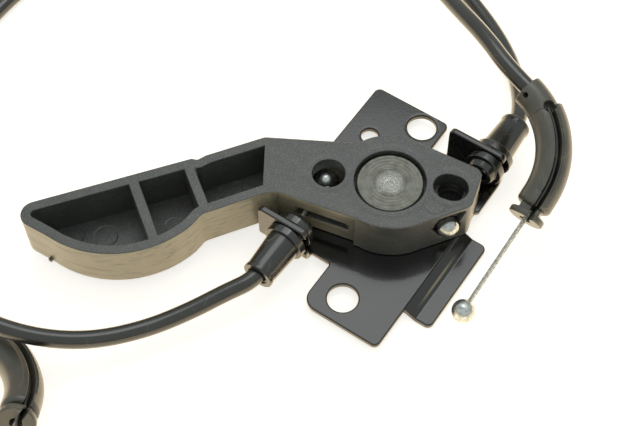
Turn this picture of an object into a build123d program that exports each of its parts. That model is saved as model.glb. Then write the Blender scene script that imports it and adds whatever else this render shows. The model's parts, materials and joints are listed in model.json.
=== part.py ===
from build123d import *
import math
import os

# Hood release handle. A pressed steel bracket carries a moulded lever on one large rivet, and
# the lever pulls two sheathed cables at once. Each cable ends in a curved guide with a ball.
# Millimetres, +Z up. The origin is the middle of the two mounting holes, on the bracket's
# underside. +Y runs along the cables towards the rear ear, and +X towards the hook flange.

# Bracket sheet, holes and edges
sheet = 2.0
bend_inner = 1.0
corner_r = 2.0
mount_pitch = 65.0
mount_angle = 101.5
mount_hole_d = 9.0
locating_hole = (-18.3, 20.3)
locating_hole_d = 5.2
bracket_left = -26.4
upper_tab_top_margin = 5.7
upper_tab_side_margin = 6.7
lower_tab_end_margin = 7.8
lower_tab_side_margin = 9.4
lower_tab_r = 4.5
bracket_right = 24.1
step_x = 23.1
step_drop = 2.0
step_run = 3.8
step_r = 1.2
flange_width = 5.0
flange_start_y = -25.0
flange_end_y = 7.2

# Pivot rivet
pivot = (1.0, 0.8)
shank_d = 12.0
shank_clearance = 0.05
tenon_d = 8.0
tenon_clearance = 0.05
head_d = 20.0
head_height = 2.4
head_chamfer = 0.5
head_gap = 0.2
tail_d = 11.0
tail_depth = 1.2
tail_recess = 0.05
dimple_d = 9.3
dimple_depth = 0.15

# Cables, their ears and the balls on their inner wires
cable_z = 8.8
front_cable_x = -15.5
rear_cable_x = 19.0
ear_reach = 26.2
ear_top = 15.3
ear_slot_r = 4.0
ear_corner_r = 1.8
front_ear_right = 6.1
rear_ear_left = 13.8
wire_d = 1.5
wire_seat = 0.02
ball_d = 6.8
ball_gap = 0.3
ball_arm = 19.5
front_ball_angle = 197.8
rear_ball_angle = 2.9
wire_in_fitting = 9.5
sheath_d = 5.2
ferrule_wall = 0.5
ferrule_length = 4.6
sleeve_gap = 0.05

# Lever
lever_gap = 0.3
lever_top = 17.5
floor_wall = 1.7
grip_wall = 3.0
rib = 3.0
rib_angle = -35.0
hub_r = 16.1
recess_clearance = 0.5
belly_centre = (-68.1, -38.0)
belly_r = 31.2
window_d = 9.6
roof = 4.9
side_lip = 1.5
wire_reach = 27.0
wire_slot = 2.8

# End fittings
neck_d = 7.6
collar_d = 12.6
collar_width = 2.4
collar_gap = 0.2
fitting_d = 10.4
fitting_end_d = 9.1
fitting_lip_d = 9.5
fitting_lip = 1.5
fitting_length = 16.3
snout_d = 8.0
snout_length = 2.0
fitting_bore_d = 5.0

# Guide elbows
elbow_d = 10.6
elbow_end_d = 9.5
elbow_r = 26.5
elbow_turn = 75.0
elbow_straight = 4.5
elbow_step_turn = 56.0
elbow_neck = 6.4
elbow_neck_length = 1.9
elbow_flange_d = 10.8
elbow_flange = 1.95
elbow_slit = 1.6
elbow_bore_d = 3.4
elbow_bore_length = 17.0
elbow_socket = 6.0
liner_d = 1.5
groove_gap = 0.2
notch_d = 3.6
groove_angle = 17.0
ledge_angle = 10.0
ledge_width = 4.1
ledge_depth = 0.65
liner_offset = 2.6
peep_d = 1.6
peep_angle = 36.0
peep_inset = 2.0
tail_reach = 31.7
tail_in_bore = 3.0
front_tail_lean = -1.3

# Coil of the longer cable
coil_centre = (-166.0, -99.0)
coil_mean_d = 57.0
tie_width = 3.6
tie_wall = 1.0
tie_gap = 0.1
tie_angle = 100.0

# Levels and places worked out from the sizes above
table_z = -step_drop
lever_bottom = sheet + lever_gap
head_seat = lever_top - 3.5
recess_floor = head_seat - head_gap
ear_bend = sheet + bend_inner
front_ear_in = pivot[1] - ear_reach
rear_ear_in = pivot[1] + ear_reach
front_ear_mid = front_ear_in - sheet / 2
rear_ear_mid = rear_ear_in + sheet / 2
front_root = front_ear_in + bend_inner
rear_root = rear_ear_in - bend_inner
pocket_r = ball_d / 2 + ball_gap
pocket_low = cable_z - pocket_r
pocket_high = lever_top - roof


def polar(centre, radius, degrees):
    turn = math.radians(degrees)
    return (centre[0] + radius * math.cos(turn), centre[1] + radius * math.sin(turn))


upper_hole = polar((0, 0), mount_pitch / 2, mount_angle)
lower_hole = polar((0, 0), mount_pitch / 2, mount_angle + 180)
front_ball = polar(pivot, ball_arm, front_ball_angle)
rear_ball = polar(pivot, ball_arm, rear_ball_angle)


def save(name, solid):
    solid.label = name
    export_step(solid, f"parts/{name}.step")


def bar(start, end, diameter):
    """A round bar from start to end."""
    line = Line(start, end)
    return extrude(Plane(origin=start, z_dir=line % 0) * Circle(diameter / 2), line.length)


def prism(points, low, high, radius=None):
    """A straight prism on an outline, with its corners rounded where radius is given."""
    if radius is None:
        outline = Polyline(*points, close=True)
    else:
        outline = FilletPolyline(*points, radius=radius, close=True)
    return extrude(Pos(0, 0, low) * make_face(outline), high - low)


def disc(centre, diameter, low, high):
    return Pos(centre[0], centre[1], low) * extrude(Circle(diameter / 2), high - low)


# Bracket: the plate with two tabs, a step down to a hook flange, and two bent-up ears
def plate():
    top = upper_hole[1] + upper_tab_top_margin
    tab_right = upper_hole[0] + upper_tab_side_margin
    bottom = lower_hole[1] - lower_tab_end_margin
    tab_left = lower_hole[0] - lower_tab_side_margin
    corners = [
        ((bracket_left, top), corner_r),
        ((tab_right, top), corner_r),
        ((tab_right, rear_root), corner_r / 2),
        ((bracket_right, rear_root), 0),
        ((bracket_right, flange_end_y + 8.2), corner_r / 2),
        ((step_x, flange_end_y + 7.0), corner_r / 2),
        ((step_x, bottom), corner_r),
        ((tab_left, bottom), lower_tab_r),
        ((tab_left, front_root), corner_r / 2),
        ((bracket_left, front_root), 0),
    ]
    return prism([c[0] for c in corners], 0, sheet, [c[1] for c in corners])


def hook_flange():
    slope = math.atan2(step_drop, step_run)
    inset = sheet * math.tan(slope / 2)
    start = step_x - 3 * sheet
    foot = step_x + step_run
    end = foot + flange_width
    section = FilletPolyline(
        (start, sheet),
        (step_x, sheet),
        (foot, sheet - step_drop),
        (end, sheet - step_drop),
        (end, -step_drop),
        (foot - inset, -step_drop),
        (step_x - inset, 0),
        (start, 0),
        radius=[0, step_r + sheet, step_r, 0, 0, step_r + sheet, step_r, 0],
        close=True,
    )
    strip = extrude(Plane.XZ * make_face(section), flange_start_y - flange_end_y)
    strip = Pos(0, flange_start_y, 0) * strip
    outer = strip.edges().filter_by(Axis.Z).group_by(Axis.X)[-1]
    return fillet(outer, corner_r)


def ear(cable_x, left, right, root, side):
    outer = bend_inner + sheet
    centre = (root, ear_bend)
    outside = root + side * outer
    inside = root + side * bend_inner
    outline = [
        Line((root, sheet), (root, 0)),
        CenterArc(centre, outer, -90, side * 90),
        Line((outside, ear_bend), (outside, ear_top)),
        Line((outside, ear_top), (inside, ear_top)),
        Line((inside, ear_top), (inside, ear_bend)),
        CenterArc(centre, bend_inner, -90, side * 90),
    ]
    blank = extrude(Plane.YZ * make_face(outline), right - left)
    blank = Pos(left, 0, 0) * blank
    top_corners = blank.edges().filter_by(Axis.Y).group_by(Axis.Z)[-1]
    blank = fillet(top_corners, ear_corner_r)
    mouth = Pos(cable_x + 20, root, cable_z) * Box(40, 20, 2 * ear_slot_r)
    hole = bar((cable_x, root - 10, cable_z), (cable_x, root + 10, cable_z), 2 * ear_slot_r)
    return blank - mouth - hole


def bracket():
    front = ear(front_cable_x, bracket_left, front_cable_x + front_ear_right, front_root, -1)
    rear = ear(rear_cable_x, rear_cable_x - rear_ear_left, bracket_right, rear_root, 1)
    body = plate() + hook_flange() + front + rear
    for hole in (upper_hole, lower_hole):
        body -= disc(hole, mount_hole_d, -1, sheet + 1)
    body -= disc(locating_hole, locating_hole_d, -1, sheet + 1)
    body -= disc(pivot, tenon_d + 2 * tenon_clearance, -1, sheet + 1)
    return body - rivet_tail(tenon_clearance, 0)


# Pivot rivet: broad head in the lever's recess, shank, and a tail closed flush with the plate
def rivet_tail(grow, low):
    """The tail's cone under the plate, grown all round, from a level up to its depth."""
    flare = (tail_d - tenon_d) / 2 * (tail_depth - low) / tail_depth
    cone = Cone(tenon_d / 2 + flare + grow, tenon_d / 2 + grow, tail_depth - low)
    return Pos(pivot[0], pivot[1], (low + tail_depth) / 2) * cone


def pivot_rivet():
    head = disc(pivot, head_d, head_seat, head_seat + head_height)
    head = chamfer(head.edges().group_by(Axis.Z)[-1], head_chamfer)
    head -= disc(pivot, dimple_d, head_seat + head_height - dimple_depth, lever_top)
    shank = disc(pivot, shank_d, sheet, head_seat)
    tenon = disc(pivot, tenon_d, tail_depth / 2, sheet)
    return head + shank + tenon + rivet_tail(0, tail_recess)


# Lever: curved grip with three open pockets, and a hub with two cable pockets
neck = (-37.2, -38.9)
belly_end = polar(belly_centre, belly_r, -10.1)
gate_angle = -94.1
gate_z = 3.4
wide_rib = (-59.9, -41.5)
narrow_rib = (-49.95, -28.25)
pocket_end = ((-36.6, -8.9), (-27.0, -23.6))
hub_corner = (-26.3, -22.8)
grip_shoulder = (-38.0, -7.0)
hub_low = (11.6, -13.0)
hub_right = (25.0, 6.5)


def lever_outline():
    belly_start = (belly_centre[0] - 1, belly_centre[1] - math.sqrt(belly_r**2 - 1))
    middle = polar(belly_centre, belly_r, -50)
    corners = [
        (neck, 3.0),
        (hub_corner, 2.5),
        ((-23.5, -20.6), 2.0),
        (hub_low, 16.0),
        (hub_right, 3.0),
        ((21.6, 18.9), 3.0),
        ((pivot[0], pivot[1] + hub_r), 0),
        ((-14.5, 6.4), 0),
        (grip_shoulder, 2.5),
        ((-48.5, -22.0), 0.8),
        ((-49.6, -24.6), 0.8),
        ((-51.3, -25.3), 0.8),
        ((-85.6, -70.2), 4.2),
    ]
    edge = FilletPolyline(
        belly_end, *[c[0] for c in corners], belly_start, radius=[c[1] for c in corners]
    )
    belly = ThreePointArc(belly_start, middle, belly_end)
    return make_face([edge, belly])


def rib_strip(through):
    return Pos(*through) * Rot(0, 0, rib_angle) * Rectangle(60, rib)


def grip_pockets():
    inside = offset(lever_outline(), -grip_wall)
    low = belly_centre[1] - 2 * belly_r
    left = belly_centre[0] - 2 * belly_r
    grip_side = [*pocket_end, (pocket_end[1][0], low), (left, low), (left, belly_r)]
    cells = inside & make_face(Polyline(*grip_side, close=True))
    cells -= rib_strip(wide_rib)
    cells -= rib_strip(narrow_rib)
    return extrude(Pos(0, 0, lever_bottom + floor_wall) * cells, lever_top)


def fan_slot(centre, first, last, reach):
    """The flat slot that a pull wire swings through as the lever turns."""
    steps = [first + (last - first) * k / 4 for k in range(5)]
    rim = [polar(centre, reach, turn) for turn in steps]
    return prism([centre] + rim, cable_z - wire_slot / 2, cable_z + wire_slot / 2)


def cavity(first, second, low, high):
    """A slot with round ends, seen from above, from one centre to another."""
    spread = math.hypot(second[0] - first[0], second[1] - first[1])
    turn = math.degrees(math.atan2(second[1] - first[1], second[0] - first[0]))
    middle = ((first[0] + second[0]) / 2, (first[1] + second[1]) / 2)
    shape = SlotCenterToCenter(spread, 2 * pocket_r)
    return extrude(Pos(middle[0], middle[1], low) * Rot(0, 0, turn) * shape, high - low)


def side_mouth():
    """The round seat that the rear ball shows in, and the taller slot above it."""
    along = Vector(hub_right[0] - hub_low[0], hub_right[1] - hub_low[1], 0)
    outward = Vector(along.Y, -along.X, 0)
    wall = Plane(origin=(rear_ball[0], rear_ball[1], cable_z), x_dir=along, z_dir=outward)
    high = lever_top - side_lip - cable_z
    corners = [(-5.6, 2.6), (-3.6, high), (5.2, high), (2.6, 0.4), (-2.4, -2.7)]
    slot = make_face(FilletPolyline(*corners, radius=1.0, close=True))
    seat = extrude(wall * Circle(pocket_r), ball_d) + Pos(*wall.origin) * Sphere(pocket_r)
    return seat + extrude(wall.offset(-1.0) * slot, ball_d + 1.0)


def lever():
    body = extrude(Pos(0, 0, lever_bottom) * lever_outline(), lever_top - lever_bottom)
    body += disc(pivot, 2 * hub_r, lever_bottom, lever_top)
    body -= grip_pockets()
    body -= disc(pivot, head_d + 2 * recess_clearance, recess_floor, lever_top + 1)
    body -= disc(pivot, shank_d + 2 * shank_clearance, 0, lever_top)
    # The wall beside the front ear stands back under the top lip
    body -= prism([(-25.6, -24.5), (-0.7, -19.5), (-0.7, -14.4), (-24.9, -19.4)], 0, 15.9)
    # Front ball: window above, pocket and side chamber, and the wire's slot
    body -= disc((-15.2, -7.0), window_d, pocket_high - 0.5, lever_top + 1)
    body -= cavity(front_ball, (front_ball[0] + 3.8, front_ball[1] + 0.2), pocket_low, pocket_high)
    body -= fan_slot(front_ball, -99, -33, wire_reach)
    # Rear ball: window above, chamber behind the seat wall, open side and the wire's slot
    window = Pos(16.7, 8.7, pocket_high - 0.5) * Rot(0, 0, 14)
    body -= window * extrude(SlotOverall(window_d + 0.6, window_d - 1), lever_top)
    body -= disc((16.0, 10.6), 2 * pocket_r, pocket_low, pocket_high)
    body -= side_mouth()
    body -= fan_slot(rear_ball, 79, 142, wire_reach)
    # Gate stub left on the lower edge
    gate_root = polar(belly_centre, belly_r - 0.7, gate_angle)
    gate_tip = polar(belly_centre, belly_r + 1.1, gate_angle)
    return body + bar((*gate_root, gate_z), (*gate_tip, gate_z), 1.4)


# End fitting: plastic ferrule body that clips into an ear's slot, axis outwards from the ear
def end_fitting():
    face = sheet / 2 + collar_gap
    shoulder = face + collar_width
    socket_at = fitting_length - ferrule_length - 0.5
    socket_r = sheath_d / 2 + sleeve_gap + ferrule_wall + sleeve_gap
    lip_at = fitting_length - fitting_lip
    profile = Polyline(
        (fitting_bore_d / 2, -shoulder - snout_length),
        (snout_d / 2, -shoulder - snout_length),
        (snout_d / 2 + 0.6, -shoulder),
        (collar_d / 2 - 0.3, -shoulder),
        (collar_d / 2 - 0.3, -face),
        (neck_d / 2, -face),
        (neck_d / 2, face),
        (collar_d / 2, face),
        (collar_d / 2, shoulder),
        (fitting_d / 2, shoulder),
        (fitting_end_d / 2, lip_at),
        (fitting_lip_d / 2, lip_at + 0.4),
        (fitting_lip_d / 2, fitting_length),
        (socket_r, fitting_length),
        (socket_r, socket_at),
        (fitting_bore_d / 2, socket_at),
        close=True,
    )
    body = revolve(Plane.XZ * make_face(profile), Axis.Z)
    latch = Pos(fitting_d / 2, 0, shoulder + 3.2) * Box(1.6, 2.2, 2.8)
    return body - latch


def ferrule():
    outer = sheath_d / 2 + sleeve_gap + ferrule_wall
    sleeve = extrude(Circle(outer) - Circle(sheath_d / 2 + sleeve_gap), ferrule_length)
    front_wall = extrude(Circle(outer) - Circle(wire_d), ferrule_wall)
    return sleeve + front_wall


def fitting_plane(cable_x, ear_mid, side, turn):
    return Plane((cable_x, ear_mid, cable_z), (side, 0, 0), (0, side, 0)) * Rot(0, 0, turn)


# Inner wires and their balls
def ball_on_wire(centre, along):
    """A cast ball with the wire's seat, the wire leaving it along a direction."""
    ball = Pos(*centre) * Sphere(ball_d / 2)
    out = Vector(*centre) + Vector(*along).normalized() * ball_d
    return ball - bar(centre, out, wire_d + 2 * wire_seat)


def wire_from_ball(centre, end):
    step = (Vector(*end) - Vector(*centre)).normalized()
    return bar(Vector(*centre) + step * wire_seat, end, wire_d)


def pull_wire_end(ball, cable_x, ear_mid, side):
    aim = Vector(cable_x, ear_mid, cable_z) - Vector(ball[0], ball[1], cable_z)
    reach = aim.length + wire_in_fitting
    return Vector(ball[0], ball[1], cable_z) + aim.normalized() * reach


# Guide elbow: exit at the origin facing -Y, the curve bending towards -X, +Z out of its plane
elbow_axis = Axis((-elbow_r, elbow_straight, 0), (0, 0, 1))


def swept(face, first, last):
    start = face.rotate(elbow_axis, first)
    return revolve(start, elbow_axis, last - first)


def elbow_section(diameter):
    """A round section that keeps to the inside of the bend."""
    return Plane.XZ.offset(-elbow_straight) * Pos((diameter - elbow_d) / 2, 0) * Circle(diameter / 2)


def groove_section(width, low, high, angle=groove_angle):
    lean = Plane.XZ.offset(-elbow_straight) * Rot(0, 0, -angle)
    return lean * Pos(0, (low + high) / 2) * Rectangle(width, high - low)


def elbow_mouth(distance=0.0):
    """A point on the sheath's line, a distance out from the socket's mouth."""
    turn = math.radians(elbow_turn)
    centre_x = -elbow_r + elbow_r * math.cos(turn)
    centre_y = elbow_straight + elbow_r * math.sin(turn)
    return Vector(
        centre_x - math.sin(turn) * distance, centre_y + math.cos(turn) * distance, 0
    )


def guide_elbow():
    groove = liner_d + 2 * groove_gap
    floor = liner_offset - liner_d / 2 - 0.2
    body = swept(elbow_section(elbow_d), 0, elbow_step_turn)
    body += swept(elbow_section(elbow_end_d), elbow_step_turn, elbow_turn)
    stub = bar((0, elbow_straight, 0), (0, 0, 0), elbow_d)
    body += fillet(stub.edges().group_by(Axis.Y)[0], 1.6)
    neck_block = Pos(0, -elbow_neck_length / 2, 0) * Box(elbow_neck, elbow_neck_length, elbow_neck)
    flange_in = -elbow_neck_length
    flange_out = flange_in - elbow_flange
    rim = bar((0, flange_in, 0), (0, flange_out, 0), elbow_flange_d)
    rim = fillet(rim.edges().filter_by(GeomType.CIRCLE), 0.5)
    body += neck_block + rim
    groove_face = groove_section(groove, floor, elbow_d)
    body -= swept(groove_face, 0, elbow_step_turn)
    body -= extrude(groove_face, elbow_straight, dir=(0, -1, 0))
    slit_face = groove_section(elbow_slit, 0, elbow_d)
    body -= extrude(slit_face, elbow_straight - flange_out + 1, dir=(0, -1, 0))
    ledge = groove_section(ledge_width, elbow_d / 2 - ledge_depth, elbow_d, ledge_angle)
    body -= swept(ledge, 0, elbow_step_turn)
    lean = math.radians(groove_angle)
    outward = Vector(math.sin(lean), 0, math.cos(lean))
    start = Vector(0, elbow_straight, 0)
    notch = bar(start + outward * floor, start + outward * elbow_d, notch_d)
    body -= notch.rotate(elbow_axis, elbow_step_turn)
    body -= bar((0, flange_out, 0), (0, flange_out + elbow_bore_length, 0), elbow_bore_d)
    socket_d = sheath_d + 2 * sleeve_gap
    body -= bar(elbow_mouth(-elbow_socket), elbow_mouth(1), socket_d)
    peep = elbow_mouth(-peep_inset)
    bend = (Vector(-elbow_r, elbow_straight, 0) - peep).normalized()
    aim = bend * math.sin(math.radians(peep_angle)) + Vector(0, 0, math.cos(math.radians(peep_angle)))
    return body - bar(peep, peep + aim * elbow_d, peep_d)


def elbow_liner():
    lean = Plane.XZ.offset(-elbow_straight) * Rot(0, 0, -groove_angle) * Pos(0, liner_offset)
    liner = swept(lean * Circle(liner_d / 2), 0, elbow_step_turn)
    return liner + extrude(lean * Circle(liner_d / 2), elbow_straight - 0.5, dir=(0, -1, 0))


def tail_place(lean):
    """The wire's own frame, its origin in the flange's face and -Y along the wire."""
    return Pos(0, -elbow_neck_length - elbow_flange, 0) * Rot(0, 0, lean)


def tail_wire():
    return bar((0, -tail_reach + wire_seat, 0), (0, tail_in_bore, 0), wire_d)


def tail_ball():
    return ball_on_wire((0, -tail_reach, 0), (0, 1, 0))


def elbow_plane(exit_point, heading, pitch, tilt):
    """Where an elbow lies: its exit's heading from -Y, its rise, and its tilt about the exit."""
    swing, rise, roll = (math.radians(v) for v in (heading, pitch, tilt))
    out = Vector(
        math.sin(swing) * math.cos(rise), -math.cos(swing) * math.cos(rise), math.sin(rise)
    )
    level = Vector(-math.cos(swing), -math.sin(swing), 0)
    upright = out.cross(level)
    upright = upright if upright.Z > 0 else -upright
    inward = level * math.cos(roll) + upright * math.sin(roll)
    return Plane(exit_point, -inward, inward.cross(out))


front_elbow_place = elbow_plane((39.06, 16.8, 15.37), -1.6, -20.8, 4.1)
rear_elbow_place = elbow_plane((-42.06, -113.5, 12.4), 33.8, 27.8, 18.9)


# Cables: straight runs joined by tangent arcs, each arc as large as its runs allow
def corner_radii(points):
    radii = []
    for before, here, after in zip(points, points[1:], points[2:]):
        first = here - before
        second = after - here
        half_turn = math.radians(first.get_angle(second) / 2)
        radii.append(0.45 * min(first.length, second.length) / math.tan(half_turn))
    return radii


def sheath(name, points):
    points = [Vector(*p) if isinstance(p, tuple) else p for p in points]
    radii = corner_radii(points)
    path = FilletPolyline(*points, radius=radii)
    tube = sweep(Plane(origin=path @ 0, z_dir=path % 0) * Circle(sheath_d / 2), path=path)
    expected = math.pi * sheath_d**2 / 4 * path.length
    print(name, "length", round(path.length, 1), "volume ratio", round(tube.volume / expected, 4))
    print(name, "radii", [round(r) for r in radii])
    return tube


sheath_seat = fitting_length - 0.5 - ferrule_length + ferrule_wall

front_route = [
    (front_cable_x, front_ear_mid - sheath_seat, cable_z),
    (front_cable_x, front_ear_mid - sheath_seat - 9.6, cable_z),
    (-18.8, -57.6, 8.2),
    (-25.8, -67.6, 7.8),
    (-35.6, -77.6, 9.4),
    (-47.6, -86.6, 14.0),
    (-61.0, -93.6, 18.6),
    (-76.0, -97.0, 19.2),
    (-93.0, -95.0, 15.4),
    (-111.0, -86.6, 9.0),
    (-134.5, -61.0, 1.8),
    (-144.8, -36.5, 0.9),
    (-149.0, -9.0, 0.7),
    (-147.2, 19.5, 0.9),
    (-138.0, 46.0, 0.7),
    (-121.0, 68.5, 0.9),
    (-97.5, 84.0, 1.6),
    (-72.0, 90.0, 6.0),
    (-49.0, 84.6, 13.0),
    (-31.0, 72.8, 20.0),
    (-14.0, 61.6, 25.2),
    (1.0, 53.6, 28.4),
]
rear_route_out = [
    (rear_cable_x, rear_ear_mid + sheath_seat, cable_z),
    (rear_cable_x, rear_ear_mid + sheath_seat + 8.0, cable_z),
    (17.0, 54.0, 6.6),
    (13.2, 60.4, 4.2),
    (7.4, 67.2, 2.4),
    (-1.0, 74.6, 1.4),
    (-12.0, 81.6, 0.8),
    (-26.0, 88.4, 0.7),
    (-44.0, 95.4, 0.8),
    (-68.0, 103.2, 0.9),
    (-98.0, 103.6, 0.7),
    (-128.0, 94.0, 0.9),
    (-154.0, 75.0, 0.7),
    (-174.5, 48.0, 0.9),
    (-189.0, 17.0, 0.7),
    (-198.0, -16.0, 0.9),
    (-201.4, -50.0, 0.7),
    (-200.2, -78.0, 0.7),
    (-199.2, -99.0, 0.7),
]
rear_route_back = [
    (-152.6, -129.8, 3.4),
    (-136.0, -124.6, 3.2),
    (-118.5, -117.3, 2.7),
    (-101.0, -110.2, 2.3),
]


def elbow_end(place, lead):
    """The last two points of a sheath: in front of the socket's mouth, and at its floor."""
    mouth = place.from_local_coords(elbow_mouth(lead))
    floor = place.from_local_coords(elbow_mouth(-elbow_socket))
    return [mouth, floor]


# Coil: the turns of the longer cable, wound in two layers, as one closed ring
def coil_section(grow=0.0):
    layer = sheath_d * math.cos(math.radians(30))
    middle = coil_mean_d / 2
    low = table_z - grow
    return FilletPolyline(
        (middle - 1.5 * sheath_d - grow, low),
        (middle + 1.5 * sheath_d + grow, low),
        (middle + 1.5 * sheath_d + grow, table_z + sheath_d),
        (middle + sheath_d + grow, table_z + sheath_d + layer + grow),
        (middle - sheath_d - grow, table_z + sheath_d + layer + grow),
        (middle - 1.5 * sheath_d - grow, table_z + sheath_d),
        radius=1.6 + grow,
        close=True,
    )


def rear_coil():
    ring = revolve(Plane.XZ * make_face(coil_section()), Axis.Z)
    band = revolve(Plane.XZ * make_face(coil_section(1.0)), Axis.Z)
    core = revolve(Plane.XZ * make_face(coil_section(-tie_wall - tie_gap)), Axis.Z)
    notch_box = Pos(coil_mean_d / 2, 0, 0) * Box(coil_mean_d, tie_width + 2 * tie_gap, 60)
    notch = (band - core) & notch_box
    return Pos(*coil_centre, 0) * Rot(0, 0, tie_angle) * (ring - notch)


def coil_tie():
    outer = make_face(coil_section())
    inner = make_face(coil_section(-tie_wall))
    band = extrude(Plane.XZ * (outer - inner), tie_width / 2, both=True)
    return Pos(*coil_centre, 0) * Rot(0, 0, tie_angle) * band


def build():
    os.makedirs("parts", exist_ok=True)
    save("bracket", bracket())
    save("pivot_rivet", pivot_rivet())
    save("lever", lever())

    sides = {
        "front": (front_cable_x, front_ear_mid, -1, front_ball, front_elbow_place, 40),
        "rear": (rear_cable_x, rear_ear_mid, 1, rear_ball, rear_elbow_place, 150),
    }
    leans = {"front": front_tail_lean, "rear": 0.0}
    for side, (cable_x, ear_mid, out, ball, elbow_place, latch_turn) in sides.items():
        tail = elbow_place * tail_place(leans[side])
        place = fitting_plane(cable_x, ear_mid, out, latch_turn)
        save(f"{side}_end_fitting", place * end_fitting())
        save(f"{side}_ferrule", place * Pos(0, 0, sheath_seat - ferrule_wall) * ferrule())
        centre = (ball[0], ball[1], cable_z)
        end = pull_wire_end(ball, cable_x, ear_mid, out)
        save(f"{side}_pull_wire", wire_from_ball(centre, end))
        save(f"{side}_pull_ball", ball_on_wire(centre, end - Vector(*centre)))
        save(f"{side}_guide_elbow", elbow_place * guide_elbow())
        save(f"{side}_elbow_liner", elbow_place * elbow_liner())
        save(f"{side}_tail_wire", tail * tail_wire())
        save(f"{side}_tail_ball", tail * tail_ball())

    front_points = front_route + elbow_end(front_elbow_place, 8.0)
    save("front_cable_sheath", sheath("front_cable_sheath", front_points))
    save("rear_cable_sheath", sheath("rear_cable_sheath", rear_route_out))
    back_points = rear_route_back + elbow_end(rear_elbow_place, 9.0)
    save("rear_cable_return", sheath("rear_cable_return", back_points))
    save("rear_cable_coil", rear_coil())
    save("coil_tie", coil_tie())


build()
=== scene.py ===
import json
import math

import bmesh
import bpy
from mathutils import Matrix, Vector
from mathutils.bvhtree import BVHTree


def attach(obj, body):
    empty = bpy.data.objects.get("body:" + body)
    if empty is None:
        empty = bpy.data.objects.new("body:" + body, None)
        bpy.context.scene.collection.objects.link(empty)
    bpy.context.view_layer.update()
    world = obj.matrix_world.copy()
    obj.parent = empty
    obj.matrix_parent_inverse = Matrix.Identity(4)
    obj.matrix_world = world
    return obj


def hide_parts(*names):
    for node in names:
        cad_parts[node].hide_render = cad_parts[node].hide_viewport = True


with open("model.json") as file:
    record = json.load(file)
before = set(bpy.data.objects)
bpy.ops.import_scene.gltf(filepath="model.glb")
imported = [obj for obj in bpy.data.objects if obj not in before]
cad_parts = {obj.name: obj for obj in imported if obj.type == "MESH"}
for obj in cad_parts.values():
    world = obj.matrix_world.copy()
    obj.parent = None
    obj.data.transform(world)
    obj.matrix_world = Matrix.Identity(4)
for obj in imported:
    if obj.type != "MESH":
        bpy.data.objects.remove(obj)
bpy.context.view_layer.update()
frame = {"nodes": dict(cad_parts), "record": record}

# Hood release handle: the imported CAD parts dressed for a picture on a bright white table
nodes = frame["nodes"]
mm = 0.001
print("frame loaded with", len(nodes), "CAD nodes")


def linearColour(hexCode):
    parts = [int(hexCode[k:k + 2], 16) / 255 for k in (1, 3, 5)]
    linear = [p / 12.92 if p <= 0.04045 else ((p + 0.055) / 1.055) ** 2.4 for p in parts]
    return (*linear, 1.0)


def addNode(tree, kind, settings=None, links=None):
    node = tree.nodes.new(kind)
    for key, value in (settings or {}).items():
        if isinstance(key, int) or key in node.inputs:
            node.inputs[key].default_value = value
        else:
            setattr(node, key, value)
    for key, source in (links or {}).items():
        socket = source if hasattr(source, "is_output") else source.outputs[0]
        tree.links.new(socket, node.inputs[key])
    return node


def startMaterial(name):
    made = bpy.data.materials.new(name)
    made.use_nodes = True
    made.node_tree.nodes.clear()
    return made, made.node_tree


# Black powder coat on pressed steel: glossy, with the soft dimples of orange peel, thin in clouds,
# drawn down at the holes' rims, and with a painted tan reflection along the step's foot. Sizes in
# this and the other materials are in millimetres.
powderCoat = {
    "base": "#101110",
    "thin": "#22211d",
    "chip": "#a8a498",
    # the tone of the painted reflection along the step's foot
    "paintedStepSheen": "#8d8369",
    "peelSize": 0.6,
    "peelHeight": 0.012,
    "cloudSize": 18.18,
    "thinRange": {"From Min": 0.5, "From Max": 0.72, "To Min": 0, "To Max": 0.5},
    "glossRange": {"From Min": 0.3, "From Max": 0.7, "To Min": 0.2, "To Max": 0.3},
    "skin": {"IOR": 1.5, "Coat Weight": 1.0, "Coat IOR": 1.5, "Coat Roughness": 0.1},
    # where the painted reflection lies along the step's foot, its lowest height and its strength
    "paintedStepSheenMiddle": (25.7, -11.0),
    "paintedStepSheenReach": (0.5, 12.5),
    "paintedStepSheenLowest": -0.6,
    "paintedStepSheenMost": 1.4,
    "chipSpacing": 9.0,
    "chipSize": 0.35,
    "chipShare": 0.38,
    "rims": [((-6.48, 31.85), 4.5), ((6.48, -31.85), 4.5), ((-18.3, 20.3), 2.6)],
    "rimWidth": 1.1,
    "rimHeight": 0.05,
}


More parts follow.
